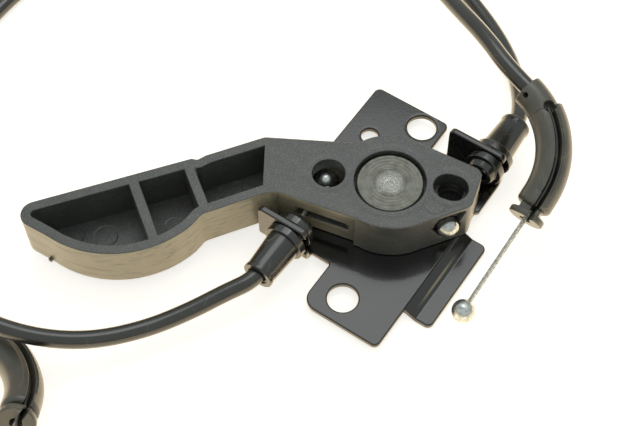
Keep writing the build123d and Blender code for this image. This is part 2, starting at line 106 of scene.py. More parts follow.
def makePowderCoat():
    made, tree = startMaterial("blackPowderCoat")
    place = addNode(tree, "ShaderNodeTexCoord").outputs["Object"]
    peel = addNode(
        tree, "ShaderNodeTexNoise", {"Scale": 1 / (powderCoat["peelSize"] * mm), "Detail": 1.2},
        {"Vector": place},
    )
    cloud = addNode(
        tree, "ShaderNodeTexNoise", {"Scale": 1 / (powderCoat["cloudSize"] * mm), "Detail": 4},
        {"Vector": place},
    )
    cells = addNode(
        tree, "ShaderNodeTexVoronoi", {"Scale": 1 / (powderCoat["chipSpacing"] * mm)},
        {"Vector": place},
    )
    share = powderCoat["chipSize"] / powderCoat["chipSpacing"]
    spot = addNode(
        tree, "ShaderNodeMapRange",
        {"From Min": share * 0.5, "From Max": share, "To Min": 1, "To Max": 0},
        {"Value": cells.outputs["Distance"]},
    )
    few = addNode(tree, "ShaderNodeSeparateColor", links={0: cells.outputs["Color"]})
    chosen = addNode(
        tree, "ShaderNodeMath", {"operation": "GREATER_THAN", 1: 1 - powderCoat["chipShare"]},
        {0: few.outputs["Red"]},
    )
    chip = addNode(tree, "ShaderNodeMath", {"operation": "MULTIPLY"}, {0: spot, 1: chosen})
    thin = addNode(tree, "ShaderNodeMapRange", powderCoat["thinRange"], {"Value": cloud})
    colour = addNode(
        tree, "ShaderNodeMix",
        {"data_type": "RGBA", 6: linearColour(powderCoat["base"]), 7: linearColour(powderCoat["thin"])},
        {0: thin},
    ).outputs[2]
    colour = addNode(
        tree, "ShaderNodeMix", {"data_type": "RGBA", 7: linearColour(powderCoat["chip"])},
        {0: chip, 6: colour},
    ).outputs[2]
    # painted reflection: a pale tan band along the step's foot, as the lit table would show in it
    parts = addNode(tree, "ShaderNodeSeparateXYZ", links={0: place})
    paintedStepSheen = cloud
    for axis, middle, reach in zip("XY", powderCoat["paintedStepSheenMiddle"], powderCoat["paintedStepSheenReach"]):
        away = addNode(
            tree, "ShaderNodeMath", {"operation": "SUBTRACT", 1: middle * mm}, {0: parts.outputs[axis]}
        )
        away = addNode(tree, "ShaderNodeMath", {"operation": "ABSOLUTE"}, {0: away})
        band = addNode(
            tree, "ShaderNodeMapRange",
            {"interpolation_type": "SMOOTHSTEP", "From Min": 0, "From Max": reach * mm,
             "To Min": powderCoat["paintedStepSheenMost"], "To Max": 0},
            {"Value": away},
        )
        paintedStepSheen = addNode(tree, "ShaderNodeMath", {"operation": "MULTIPLY"}, {0: paintedStepSheen, 1: band})
    above = addNode(
        tree, "ShaderNodeMath", {"operation": "GREATER_THAN", 1: powderCoat["paintedStepSheenLowest"] * mm},
        {0: parts.outputs["Z"]},
    )
    paintedStepSheen = addNode(tree, "ShaderNodeMath", {"operation": "MULTIPLY"}, {0: paintedStepSheen, 1: above})
    colour = addNode(
        tree, "ShaderNodeMix", {"data_type": "RGBA", 7: linearColour(powderCoat["paintedStepSheen"])},
        {0: paintedStepSheen, 6: colour},
    ).outputs[2]
    height = addNode(
        tree, "ShaderNodeMath", {"operation": "MULTIPLY", 1: powderCoat["peelHeight"]}, {0: peel}
    )
    flat = addNode(
        tree, "ShaderNodeVectorMath", {"operation": "MULTIPLY", 1: (1, 1, 0)}, {0: place}
    )
    for centre, radius in powderCoat["rims"]:
        away = addNode(
            tree, "ShaderNodeVectorMath",
            {"operation": "DISTANCE", 1: (centre[0] * mm, centre[1] * mm, 0)}, {0: flat},
        )
        roll = addNode(
            tree, "ShaderNodeMapRange",
            {"interpolation_type": "SMOOTHSTEP", "From Min": radius * mm,
             "From Max": (radius + powderCoat["rimWidth"]) * mm,
             "To Min": -powderCoat["rimHeight"], "To Max": 0},
            {"Value": away.outputs["Value"]},
        )
        height = addNode(
            tree, "ShaderNodeMath", {"operation": "ADD"}, {0: height, 1: roll}
        )
    bump = addNode(
        tree, "ShaderNodeBump", {"Strength": 1.0, "Distance": mm}, {"Height": height}
    )
    rough = addNode(tree, "ShaderNodeMapRange", powderCoat["glossRange"], {"Value": cloud})
    shader = addNode(
        tree, "ShaderNodeBsdfPrincipled", powderCoat["skin"],
        {"Base Color": colour, "Roughness": rough, "Normal": bump, "Coat Normal": bump},
    )
    addNode(tree, "ShaderNodeOutputMaterial", links={"Surface": shader})
    return made


# Glass-filled nylon, moulded: a dry fine grain, paler where the fibres come up, with flow streaks
# along the walls and the round marks of the mould's pins; the grip's outer walls carry a painted
# tan reflection of the lit table, broken by the streaks. The streaks' turn is in radians.
leverNylon = {
    "base": "#2c2f2e",
    "pale": "#414442",
    "flow": "#57534a",
    "fleck": "#a3a29a",
    # the painted reflection's tone on the grip's outer walls, and the places along X where it fades out
    "paintedSheen": "#c4b798",
    "paintedSheenFrom": 4.0,
    "paintedSheenTo": -16.0,
    "grainSize": 0.3,
    "grainHeight": 0.03,
    "cloudSize": 9.09,
    "streakSize": (14.286, 4.167, 1.053),
    "streakTurn": (0.12, -0.1, 0.7),
    "paleRange": {"From Min": 0.38, "From Max": 0.66, "To Min": 0, "To Max": 0.75},
    "flowRange": {"From Min": 0.46, "From Max": 0.72, "To Min": 0, "To Max": 0.45},
    "fleckRange": {"From Min": 0.5, "From Max": 0.72, "To Min": 0, "To Max": 0.5},
    # how the flow streaks break up the painted reflection on the walls
    "sheenStreakRange": {"From Min": 0.34, "From Max": 0.56, "To Min": 0.35, "To Max": 1},
    "glossRange": {"From Min": 0.3, "From Max": 0.7, "To Min": 0.4, "To Max": 0.54},
    "skin": {"IOR": 1.55, "Coat Weight": 1.0, "Coat IOR": 1.5, "Coat Roughness": 0.36},
    "pinMarks": [((16.0, 1.2), 3.25), ((-70.3, -59.6), 3.5), ((-61.9, -54.7), 3.5),
                 ((-47.6, -40.6), 2.6), ((-40.6, -21.5), 3.5)],
    "sinkRings": [((1.0, 0.8), 12.4), ((-15.2, -7.0), 6.4), ((16.7, 8.7), 6.6)],
    "pinEdge": 0.25,
    "sinkEdge": 0.8,
    "markHeight": 0.09,
}


def makeLeverNylon():
    made, tree = startMaterial("glassFilledNylon")
    place = addNode(tree, "ShaderNodeTexCoord").outputs["Object"]
    grain = addNode(
        tree, "ShaderNodeTexNoise",
        {"Scale": 1 / (leverNylon["grainSize"] * mm), "Detail": 3, "Roughness": 0.7},
        {"Vector": place},
    )
    laid = addNode(
        tree, "ShaderNodeMapping",
        {"Rotation": leverNylon["streakTurn"],
         "Scale": [1 / (size * mm) for size in leverNylon["streakSize"]]},
        {"Vector": place},
    )
    streak = addNode(
        tree, "ShaderNodeTexNoise", {"Scale": 1.0, "Detail": 5, "Roughness": 0.6, "Distortion": 0.4},
        {"Vector": laid},
    )
    cloud = addNode(
        tree, "ShaderNodeTexNoise", {"Scale": 1 / (leverNylon["cloudSize"] * mm), "Detail": 5},
        {"Vector": place},
    )
    wash = addNode(tree, "ShaderNodeMapRange", leverNylon["paleRange"], {"Value": cloud})
    line = addNode(tree, "ShaderNodeMapRange", leverNylon["flowRange"], {"Value": streak})
    fleck = addNode(tree, "ShaderNodeMapRange", leverNylon["fleckRange"], {"Value": grain})
    colour = addNode(
        tree, "ShaderNodeMix",
        {"data_type": "RGBA", 6: linearColour(leverNylon["base"]), 7: linearColour(leverNylon["pale"])},
        {0: wash},
    ).outputs[2]
    # painted reflection: the arm's outer walls are painted a pale tan, as the lit table would show in
    # them, broken up by the flow streaks
    outer = addNode(tree, "ShaderNodeAttribute", {"attribute_name": "outerWall"}).outputs["Fac"]
    across = addNode(tree, "ShaderNodeSeparateXYZ", links={0: place}).outputs["X"]
    arm = addNode(
        tree, "ShaderNodeMapRange",
        {"From Min": leverNylon["paintedSheenTo"] * mm, "From Max": leverNylon["paintedSheenFrom"] * mm,
         "To Min": 1, "To Max": 0},
        {"Value": across},
    )
    paintedSheen = addNode(tree, "ShaderNodeMath", {"operation": "MULTIPLY"}, {0: outer, 1: arm})
    sheenStreak = addNode(tree, "ShaderNodeMapRange", leverNylon["sheenStreakRange"], {"Value": streak})
    paintedSheen = addNode(tree, "ShaderNodeMath", {"operation": "MULTIPLY"}, {0: paintedSheen, 1: sheenStreak})
    colour = addNode(
        tree, "ShaderNodeMix", {"data_type": "RGBA", 7: linearColour(leverNylon["paintedSheen"])},
        {0: paintedSheen, 6: colour},
    ).outputs[2]
    for amount, tone in ((line, "flow"), (fleck, "fleck")):
        colour = addNode(
            tree, "ShaderNodeMix", {"data_type": "RGBA", 7: linearColour(leverNylon[tone])},
            {0: amount, 6: colour},
        ).outputs[2]
    height = addNode(
        tree, "ShaderNodeMath", {"operation": "MULTIPLY", 1: leverNylon["grainHeight"]}, {0: grain}
    )
    flat = addNode(
        tree, "ShaderNodeVectorMath", {"operation": "MULTIPLY", 1: (1, 1, 0)}, {0: place}
    )
    for marks, edge in (("pinMarks", "pinEdge"), ("sinkRings", "sinkEdge")):
        width = leverNylon[edge]
        for centre, radius in leverNylon[marks]:
            away = addNode(
                tree, "ShaderNodeVectorMath",
                {"operation": "DISTANCE", 1: (centre[0] * mm, centre[1] * mm, 0)}, {0: flat},
            )
            step = addNode(
                tree, "ShaderNodeMapRange",
                {"interpolation_type": "SMOOTHSTEP", "From Min": (radius - width) * mm,
                 "From Max": (radius + width) * mm, "To Min": -leverNylon["markHeight"],
                 "To Max": 0},
                {"Value": away.outputs["Value"]},
            )
            height = addNode(tree, "ShaderNodeMath", {"operation": "ADD"}, {0: height, 1: step})
    bump = addNode(
        tree, "ShaderNodeBump", {"Strength": 1.0, "Distance": mm}, {"Height": height}
    )
    rough = addNode(tree, "ShaderNodeMapRange", leverNylon["glossRange"], {"Value": cloud})
    shader = addNode(
        tree, "ShaderNodeBsdfPrincipled", leverNylon["skin"],
        {"Base Color": colour, "Roughness": rough, "Normal": bump, "Coat Normal": bump},
    )
    addNode(tree, "ShaderNodeOutputMaterial", links={"Surface": shader})
    return made


# Zinc-plated steel closed by an orbiting punch: dull and olive-grey, with a bright scrubbed middle
# and faint rings round it
rivetSteel = {
    "dull": "#82827a",
    "dark": "#5a5a52",
    "bright": "#dadad4",
    "centre": (1.0, 0.8),
    "scrubRadius": 5.0,
    "scrubRagged": 3.4,
    "scrubFade": (0.6, 1.3),
    "scrubSpacing": 0.42,
    "scrubLook": {"Distortion": 14, "Detail": 4, "Detail Scale": 0.9, "Detail Roughness": 0.65},
    "ringSpacing": 1.1,
    "ringLook": {"Distortion": 2.5, "Detail": 3, "Detail Scale": 1.5},
    "ringHeight": 0.035,
    "scratchHeight": 0.06,
    "cloudSize": 2.381,
    "stainRange": {"From Min": 0.42, "From Max": 0.7, "To Min": 0, "To Max": 0.6},
    "scratchRange": {"From Min": 0.25, "From Max": 0.8, "To Min": 0.25, "To Max": 1},
    "glossRange": {"From Min": 0, "From Max": 1, "To Min": 0.46, "To Max": 0.34},
}


def makeRivetSteel():
    made, tree = startMaterial("formedRivetSteel")
    place = addNode(tree, "ShaderNodeTexCoord").outputs["Object"]
    middle = rivetSteel["centre"]
    centred = addNode(
        tree, "ShaderNodeMapping", {"Location": (-middle[0] * mm, -middle[1] * mm, 0)},
        {"Vector": place},
    )
    flat = addNode(
        tree, "ShaderNodeVectorMath", {"operation": "MULTIPLY", 1: (1, 1, 0)}, {0: centred}
    )
    away = addNode(tree, "ShaderNodeVectorMath", {"operation": "LENGTH"}, {0: flat})
    # a Wave texture's rings stand a tenth of pi apart at a scale of 1
    ringStep = math.pi / 10
    rings = addNode(
        tree, "ShaderNodeTexWave",
        {"wave_type": "RINGS", "rings_direction": "Z",
         "Scale": ringStep / (rivetSteel["ringSpacing"] * mm), **rivetSteel["ringLook"]},
        {"Vector": centred},
    )
    scrub = addNode(
        tree, "ShaderNodeTexWave",
        {"wave_type": "RINGS", "rings_direction": "Z",
         "Scale": ringStep / (rivetSteel["scrubSpacing"] * mm), **rivetSteel["scrubLook"]},
        {"Vector": centred},
    )
    cloud = addNode(
        tree, "ShaderNodeTexNoise", {"Scale": 1 / (rivetSteel["cloudSize"] * mm), "Detail": 6},
        {"Vector": centred},
    )
    reach = rivetSteel["scrubRadius"] * mm
    uneven = addNode(
        tree, "ShaderNodeMath", {"operation": "MULTIPLY_ADD", 1: rivetSteel["scrubRagged"] * mm},
        {0: cloud, 2: away.outputs["Value"]},
    )
    whole, gone = rivetSteel["scrubFade"]
    inside = addNode(
        tree, "ShaderNodeMapRange",
        {"interpolation_type": "SMOOTHSTEP", "From Min": reach * whole, "From Max": reach * gone,
         "To Min": 1, "To Max": 0},
        {"Value": uneven},
    )
    stain = addNode(tree, "ShaderNodeMapRange", rivetSteel["stainRange"], {"Value": cloud})
    scratch = addNode(tree, "ShaderNodeMapRange", rivetSteel["scratchRange"], {"Value": scrub})
    colour = addNode(
        tree, "ShaderNodeMix",
        {"data_type": "RGBA", 6: linearColour(rivetSteel["dull"]), 7: linearColour(rivetSteel["dark"])},
        {0: stain},
    ).outputs[2]
    bright = addNode(tree, "ShaderNodeMath", {"operation": "MULTIPLY"}, {0: inside, 1: scratch})
    colour = addNode(
        tree, "ShaderNodeMix", {"data_type": "RGBA", 7: linearColour(rivetSteel["bright"])},
        {0: bright, 6: colour},
    ).outputs[2]
    low = addNode(
        tree, "ShaderNodeMath", {"operation": "MULTIPLY", 1: rivetSteel["ringHeight"]}, {0: rings}
    )
    level = addNode(tree, "ShaderNodeMath", {"operation": "SUBTRACT", 1: 0.5}, {0: scrub})
    cut = addNode(tree, "ShaderNodeMath", {"operation": "MULTIPLY"}, {0: inside, 1: level})
    height = addNode(
        tree, "ShaderNodeMath", {"operation": "MULTIPLY_ADD", 1: rivetSteel["scratchHeight"]},
        {0: cut, 2: low},
    )
    bump = addNode(
        tree, "ShaderNodeBump", {"Strength": 1.0, "Distance": mm}, {"Height": height}
    )
    rough = addNode(tree, "ShaderNodeMapRange", rivetSteel["glossRange"], {"Value": inside})
    shader = addNode(
        tree, "ShaderNodeBsdfPrincipled", {"Metallic": 0.9},
        {"Base Color": colour, "Roughness": rough, "Normal": bump},
    )
    addNode(tree, "ShaderNodeOutputMaterial", links={"Surface": shader})
    return made


# Pale metals: cast zinc with a dull skin, drawn galvanised wire, and a plated steel sleeve. Each is
# mottled from its tone to its shade, in patches of its cloud's size.
paleMetals = {
    "castZinc": {"tone": "#e4e7e5", "shade": "#b4b8b5", "rough": (0.24, 0.38), "cloudSize": 1.1},
    "galvanisedWire": {"tone": "#f4f2ea", "shade": "#bcb9ae", "rough": (0.26, 0.4), "cloudSize": 0.7},
    "platedSleeve": {"tone": "#a59f8e", "shade": "#7b766a", "rough": (0.3, 0.45), "cloudSize": 1.0},
}


def makePaleMetal(name, tone, shade, rough, cloudSize, shadeSpan=(0.38, 0.7), relief=0.03):
    made, tree = startMaterial(name)
    place = addNode(tree, "ShaderNodeTexCoord").outputs["Object"]
    cast = addNode(
        tree, "ShaderNodeTexNoise", {"Scale": 1 / (cloudSize * mm), "Detail": 4}, {"Vector": place}
    )
    mottle = addNode(
        tree, "ShaderNodeMapRange",
        {"From Min": shadeSpan[0], "From Max": shadeSpan[1], "To Min": 0, "To Max": 1},
        {"Value": cast},
    )
    colour = addNode(
        tree, "ShaderNodeMix",
        {"data_type": "RGBA", 6: linearColour(tone), 7: linearColour(shade)}, {0: mottle},
    ).outputs[2]
    gloss = addNode(
        tree, "ShaderNodeMapRange",
        {"From Min": 0.3, "From Max": 0.7, "To Min": rough[0], "To Max": rough[1]},
        {"Value": cast},
    )
    bump = addNode(
        tree, "ShaderNodeBump", {"Strength": 0.5, "Distance": relief * mm}, {"Height": cast}
    )
    shader = addNode(
        tree, "ShaderNodeBsdfPrincipled", {"Metallic": 1.0},
        {"Base Color": colour, "Roughness": gloss, "Normal": bump},
    )
    addNode(tree, "ShaderNodeOutputMaterial", links={"Surface": shader})
    return made


# Dark plastics: extruded vinyl, glossy, and moulded nylon from satin to dry, each with its scuffs.
# The skin is the roughness of the gloss that lies over the body's own.
darkPlastics = {
    "glossyVinyl": {
        "base": "#23231f", "scuffed": "#3b3a33", "rough": (0.2, 0.32), "scuff": 0.3, "grain": 0.008,
        "skin": 0.16,
    },
    "fittingNylon": {
        "base": "#191b1b", "scuffed": "#2f2d26", "rough": (0.2, 0.32), "scuff": 0.4, "grain": 0.01,
        "skin": 0.14,
    },
    "elbowNylon": {
        "base": "#4a4840", "scuffed": "#666052", "rough": (0.36, 0.5), "scuff": 0.6, "grain": 0.02,
        "skin": 0.32,
    },
    "tieNylon": {
        "base": "#1c1c1c", "scuffed": "#2d2d2b", "rough": (0.32, 0.45), "scuff": 0.3, "grain": 0.01,
        "skin": 0.3,
    },
}


# What every dark plastic shares: its haze, its grain and its fine pale cuts, whose width is a share
# of their spacing
plasticWear = {
    "cloudSize": 5.882,
    "grainSize": 0.625,
    "cutSpacing": 6.25,
    "cutWidth": 0.02,
    "cutTone": "#a39e90",
    "cutRange": {"From Min": 0.53, "From Max": 0.68, "To Min": 0, "To Max": 1},
    "hazeSpan": (0.4, 0.7),
}


def makeDarkPlastic(name, base, scuffed, rough, scuff, grain, skin):
    made, tree = startMaterial(name)
    place = addNode(tree, "ShaderNodeTexCoord").outputs["Object"]
    cloud = addNode(
        tree, "ShaderNodeTexNoise", {"Scale": 1 / (plasticWear["cloudSize"] * mm), "Detail": 5},
        {"Vector": place},
    )
    fine = addNode(
        tree, "ShaderNodeTexNoise", {"Scale": 1 / (plasticWear["grainSize"] * mm), "Detail": 3},
        {"Vector": place},
    )
    nicks = addNode(
        tree, "ShaderNodeTexVoronoi",
        {"Scale": 1 / (plasticWear["cutSpacing"] * mm), "feature": "DISTANCE_TO_EDGE"},
        {"Vector": place},
    )
    cut = addNode(
        tree, "ShaderNodeMapRange",
        {"From Min": 0, "From Max": plasticWear["cutWidth"], "To Min": scuff, "To Max": 0},
        {"Value": nicks.outputs["Distance"]},
    )
    patch = addNode(tree, "ShaderNodeMapRange", plasticWear["cutRange"], {"Value": cloud})
    mark = addNode(tree, "ShaderNodeMath", {"operation": "MULTIPLY"}, {0: cut, 1: patch})
    near, far = plasticWear["hazeSpan"]
    haze = addNode(
        tree, "ShaderNodeMapRange",
        {"From Min": near, "From Max": far, "To Min": 0, "To Max": scuff}, {"Value": cloud},
    )
    colour = addNode(
        tree, "ShaderNodeMix",
        {"data_type": "RGBA", 6: linearColour(base), 7: linearColour(scuffed)}, {0: haze},
    ).outputs[2]
    colour = addNode(
        tree, "ShaderNodeMix", {"data_type": "RGBA", 7: linearColour(plasticWear["cutTone"])},
        {0: mark, 6: colour},
    ).outputs[2]
    height = addNode(
        tree, "ShaderNodeMath", {"operation": "MULTIPLY", 1: grain}, {0: fine}
    )
    bump = addNode(
        tree, "ShaderNodeBump", {"Strength": 1.0, "Distance": mm}, {"Height": height}
    )
    gloss = addNode(
        tree, "ShaderNodeMapRange",
        {"From Min": 0.3, "From Max": 0.7, "To Min": rough[0], "To Max": rough[1]},
        {"Value": cloud},
    )
    shader = addNode(
        tree, "ShaderNodeBsdfPrincipled",
        {"IOR": 1.55, "Coat Weight": 1.0, "Coat IOR": 1.5, "Coat Roughness": skin},
        {"Base Color": colour, "Roughness": gloss, "Normal": bump, "Coat Normal": bump},
    )
    addNode(tree, "ShaderNodeOutputMaterial", links={"Surface": shader})
    return made


metals = {name: makePaleMetal(name, **looks) for name, looks in paleMetals.items()}
plastics = {name: makeDarkPlastic(name, **looks) for name, looks in darkPlastics.items()}
finishes = {
    "black_paint": makePowderCoat(),
    "grey_plastic": makeLeverNylon(),
    "rivet_steel": makeRivetSteel(),
    "bright_zinc": metals["castZinc"],
    "wire_steel": metals["galvanisedWire"],
    "ferrule_steel": metals["platedSleeve"],
    "sheath_black": plastics["glossyVinyl"],
    "fitting_black": plastics["fittingNylon"],
    "elbow_grey": plastics["elbowNylon"],
    "tie_black": plastics["tieNylon"],
}
print("materials made:", len(finishes))


def nodeSlot(name):
    parts = frame["record"]["subparts"]
    return next(p["material_slot"] for p in parts if p["node"] == name)


def bodyOf(name):
    groups = frame["record"]["behaviour"]["bodies"]
    return next(body for body, members in groups.items() if name in members)


def newPiece(name, mesh, material):
    made = bpy.data.objects.new(name, mesh)
    bpy.context.scene.collection.objects.link(made)
    mesh.materials.clear()
    mesh.materials.append(material)
    return made


# Softened edges: a merged copy of each larger hard solid, with small rounds on its outer edges.
# keepHard is the middle and radius of a ball inside which the edges stay as the solid has them.
softEdges = {
    "bracket": {"width": 0.5, "segments": 3},
    "lever": {"width": 0.3, "segments": 3, "keepHard": ((8.0, 16.8, 9.0), 4.5)},
    "pivot_rivet": {"width": 0.1, "segments": 2},
    "front_end_fitting": {"width": 0.2, "segments": 2},
    "rear_end_fitting": {"width": 0.2, "segments": 2},
    "front_guide_elbow": {"width": 0.25, "segments": 2},
    "rear_guide_elbow": {"width": 0.25, "segments": 2},
}
# Angles in degrees, and the share of the round's width past which a vertex has left the solid
rounding = {"weld": 0.001, "flat": 0.3, "roundFrom": 38, "sharpFrom": 34, "strayShare": 0.7}


def softenNode(name, width, segments, keepHard=None):
    mesh = nodes[name].data.copy()
    work = bmesh.new()
    work.from_mesh(mesh)
    bmesh.ops.remove_doubles(work, verts=work.verts, dist=rounding["weld"] * mm)
    bmesh.ops.dissolve_limit(
        work, angle_limit=math.radians(rounding["flat"]), verts=work.verts, edges=work.edges
    )
    weights = work.edges.layers.float.new("bevel_weight_edge")
    roundFrom = math.radians(rounding["roundFrom"])
    for edge in work.edges:
        outward = edge.is_manifold and edge.calc_face_angle_signed() > roundFrom
        middle = (edge.verts[0].co + edge.verts[1].co) / 2
        if keepHard and (middle - Vector(keepHard[0]) * mm).length < keepHard[1] * mm:
            outward = False
        edge[weights] = 1.0 if outward else 0.0
    work.to_mesh(mesh)
    work.free()
    piece = newPiece(name + "Soft", mesh, finishes[nodeSlot(name)])
    bevel = piece.modifiers.new("edgeRound", "BEVEL")
    bevel.width = width * mm
    bevel.segments = segments
    bevel.limit_method = "WEIGHT"
    bevel.use_clamp_overlap = False
    # a corner that the round throws off the solid comes back to it
    solid = BVHTree.FromPolygons([v.co for v in mesh.vertices], [p.vertices for p in mesh.polygons])
    mesh.shade_smooth()
    bpy.context.view_layer.update()
    graph = bpy.context.evaluated_depsgraph_get()
    rounded = bpy.data.meshes.new_from_object(piece.evaluated_get(graph))
    for vertex in rounded.vertices:
        near, _, _, gap = solid.find_nearest(vertex.co)
        if gap > width * mm * rounding["strayShare"]:
            vertex.co = near
    rounded.set_sharp_from_angle(angle=math.radians(rounding["sharpFrom"]))
    piece.modifiers.clear()
    piece.data = rounded
    even = piece.modifiers.new("flatFaces", "WEIGHTED_NORMAL")
    even.mode = "FACE_AREA"
    even.weight = 100
    even.keep_sharp = True
    bpy.context.view_layer.update()
    graph = bpy.context.evaluated_depsgraph_get()
    made = bpy.data.meshes.new_from_object(piece.evaluated_get(graph))
    piece.modifiers.clear()
    piece.data = made
    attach(piece, bodyOf(name))
    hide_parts(name)
    return piece


softPieces = {name: softenNode(name, **sizes) for name, sizes in softEdges.items()}
print("edges softened on", len(softPieces), "pieces")


# Marks the lever's outer walls: upright faces that look out past the lever, where its material paints a
# tan reflection
def markOuterWalls(piece, reach, nearest, lean=0.5, lift=0.05):
    mesh = piece.data
    around = BVHTree.FromPolygons([v.co for v in mesh.vertices], [p.vertices for p in mesh.polygons])
    marks = mesh.attributes.new("outerWall", "FLOAT", "FACE")
    for face in mesh.polygons:
        flat = Vector((face.normal.x, face.normal.y, 0))
        if abs(face.normal.z) > lean:
            continue
        way = flat.normalized()
        gap = around.ray_cast(face.center + way * lift * mm, way, reach * mm)[3]
        if gap is None or gap < nearest * mm:
            marks.data[face.index].value = 1.0


markOuterWalls(softPieces["lever"], reach=40, nearest=2.2)

# Every CAD node gets its finish, also where a softened copy stands for it
smoothWithin = 35
for name, node in nodes.items():
    node.data.materials.clear()
    node.data.materials.append(finishes[nodeSlot(name)])
    if name not in softEdges:
        node.data.shade_smooth()
        node.data.set_sharp_from_angle(angle=math.radians(smoothWithin))


# Stranded wire: six strands laid round a core, twisted about the wire's own line
strandedWire = {
    "strands": 6,
    "strandRadius": 0.225,
    "ringRadius": 0.465,
    "coreRadius": 0.28,
    "layLength": 9.0,
    "stepsPerMm": 3.0,
    "strandSides": 8,
    "coreSides": 10,
    "endReach": 1.7,
}


def strandTree():
    tree = bpy.data.node_groups.new("strandedWire", "GeometryNodeTree")
    face = tree.interface
    sizes = (
        ("wireLength", "NodeSocketFloat"),
        ("strandCount", "NodeSocketInt"),
        ("strandRadius", "NodeSocketFloat"),
        ("ringRadius", "NodeSocketFloat"),
        ("coreRadius", "NodeSocketFloat"),
        ("layLength", "NodeSocketFloat"),
        ("stepCount", "NodeSocketInt"),
        ("wireMaterial", "NodeSocketMaterial"),
    )
    for name, kind in sizes:
        face.new_socket(name, in_out="INPUT", socket_type=kind)
    face.new_socket("Geometry", in_out="OUTPUT", socket_type="NodeSocketGeometry")
    given = addNode(tree, "NodeGroupInput").outputs
    top = addNode(tree, "ShaderNodeCombineXYZ", links={"Z": given["wireLength"]})
    line = addNode(tree, "GeometryNodeCurvePrimitiveLine", links={"End": top.outputs[0]})
    steps = addNode(
        tree, "GeometryNodeResampleCurve",
        links={"Curve": line.outputs[0], "Count": given["stepCount"]},
    )
    copies = addNode(
        tree, "GeometryNodeDuplicateElements", {"domain": "SPLINE"},
        {"Geometry": steps.outputs[0], "Amount": given["strandCount"]},
    )
    share = addNode(
        tree, "ShaderNodeMath", {"operation": "DIVIDE"},
        {0: copies.outputs["Duplicate Index"], 1: given["strandCount"]},
    )
    along = addNode(tree, "GeometryNodeSplineParameter")
    laid = addNode(
        tree, "ShaderNodeMath", {"operation": "DIVIDE"},
        {0: along.outputs["Length"], 1: given["layLength"]},
    )
    turns = addNode(
        tree, "ShaderNodeMath", {"operation": "ADD"}, {0: share.outputs[0], 1: laid.outputs[0]}
    )
    angle = addNode(
        tree, "ShaderNodeMath", {"operation": "MULTIPLY", 1: 2 * math.pi}, {0: turns.outputs[0]}
    )
    cosine = addNode(tree, "ShaderNodeMath", {"operation": "COSINE"}, {0: angle.outputs[0]})
    sine = addNode(tree, "ShaderNodeMath", {"operation": "SINE"}, {0: angle.outputs[0]})
    spread = addNode(
        tree, "ShaderNodeCombineXYZ", links={"X": cosine.outputs[0], "Y": sine.outputs[0]}
    )
    offset = addNode(
        tree, "ShaderNodeVectorMath", {"operation": "SCALE"},
        {0: spread.outputs[0], "Scale": given["ringRadius"]},
    )
    wound = addNode(
        tree, "GeometryNodeSetPosition",
        links={"Geometry": copies.outputs[0], "Offset": offset.outputs[0]},
    )
    rim = addNode(
        tree, "GeometryNodeCurvePrimitiveCircle", {"Resolution": strandedWire["strandSides"]},
        {"Radius": given["strandRadius"]},
    )
    strands = addNode(
        tree, "GeometryNodeCurveToMesh", {"Fill Caps": True},
        {"Curve": wound.outputs[0], "Profile Curve": rim.outputs[0]},
    )
    coreRim = addNode(
        tree, "GeometryNodeCurvePrimitiveCircle", {"Resolution": strandedWire["coreSides"]},
        {"Radius": given["coreRadius"]},
    )
    core = addNode(
        tree, "GeometryNodeCurveToMesh", {"Fill Caps": True},
        {"Curve": line.outputs[0], "Profile Curve": coreRim.outputs[0]},
    )
    joined = addNode(tree, "GeometryNodeJoinGeometry")
    tree.links.new(strands.outputs[0], joined.inputs[0])
    tree.links.new(core.outputs[0], joined.inputs[0])
    real = addNode(
        tree, "GeometryNodeRealizeInstances", links={"Geometry": joined.outputs[0]}
    )
    done = addNode(
        tree, "GeometryNodeSetMaterial",
        links={"Geometry": real.outputs[0], "Material": given["wireMaterial"]},
    )
    addNode(tree, "NodeGroupOutput", links={"Geometry": done.outputs[0]})
    return tree


def runTree(tree, name, values):
    holder = newPiece(name, bpy.data.meshes.new(name), values["wireMaterial"])
    modifier = holder.modifiers.new("strands", "NODES")
    modifier.node_group = tree
    for socket in tree.interface.items_tree:
        if socket.in_out == "INPUT" and socket.name in values:
            modifier[socket.identifier] = values[socket.name]
    bpy.context.view_layer.update()
    graph = bpy.context.evaluated_depsgraph_get()
    made = bpy.data.meshes.new_from_object(holder.evaluated_get(graph))
    holder.modifiers.clear()
    holder.data = made
    return holder


# A wire's two ends, as the middles of its CAD solid's end faces
def wireLine(name):
    points = [v.co for v in nodes[name].data.vertices]
    middle = sum(points, Vector()) / len(points)
    far = max(points, key=lambda p: (p - middle).length)
    other = max(points, key=lambda p: (p - far).length)
    ends = []
    reach = strandedWire["endReach"] * mm
    for tip in (far, other):
        near = [p for p in points if (p - tip).length < reach]
        ends.append(sum(near, Vector()) / len(near))
    return ends


wireTree = strandTree()
for name in ("front_pull_wire", "rear_pull_wire", "front_tail_wire", "rear_tail_wire"):
    start, end = wireLine(name)
    run = end - start
    wire = runTree(
        wireTree,
        name + "Strands",
        {
            "wireLength": run.length,
            "strandCount": strandedWire["strands"],
            "strandRadius": strandedWire["strandRadius"] * mm,
            "ringRadius": strandedWire["ringRadius"] * mm,
            "coreRadius": strandedWire["coreRadius"] * mm,
            "layLength": strandedWire["layLength"] * mm,
            "stepCount": int(run.length / mm * strandedWire["stepsPerMm"]),
            "wireMaterial": finishes["wire_steel"],
        },
    )
    turn = run.to_track_quat("Z", "Y").to_matrix().to_4x4()
    wire.data.transform(Matrix.Translation(start) @ turn)
    wire.data.shade_smooth()
    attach(wire, bodyOf(name))
    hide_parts(name)
print("stranded wires laid")


